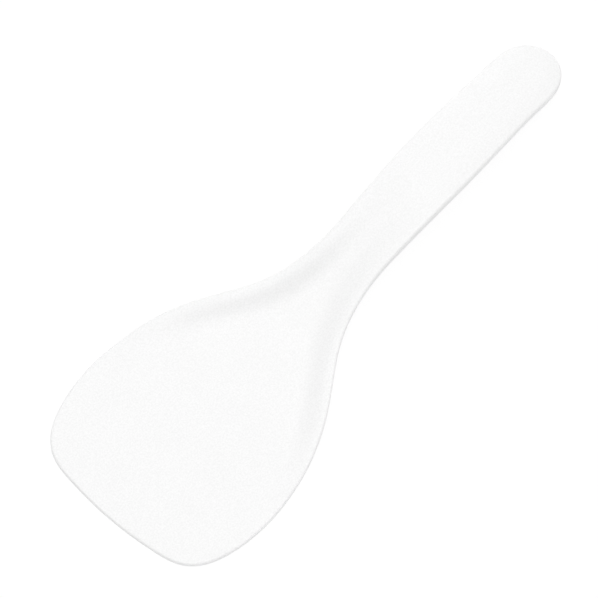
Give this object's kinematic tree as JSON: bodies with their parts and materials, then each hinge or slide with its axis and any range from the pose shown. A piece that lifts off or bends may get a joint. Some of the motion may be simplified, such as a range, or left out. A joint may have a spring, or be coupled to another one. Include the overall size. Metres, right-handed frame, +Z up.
{
  "type": "rice paddle",
  "caption": "One-piece plastic rice paddle: a flat, thin blade with turned-up shoulders that form a shallow scoop, running out along an arched handle with a rounded end.",
  "frame": {"origin": "on the table that the paddle lies on, under the middle of its length and width", "axes": "+X along the paddle from the blade's tip to the handle's end, +Y across it, +Z up from the table"},
  "size_m": [0.195, 0.0706, 0.0105],
  "materials": {
    "white_plastic": "satin, with a very fine even grain"
  },
  "bodies": {
    "root": {"paddle": "white_plastic"}
  },
  "joints": []
}
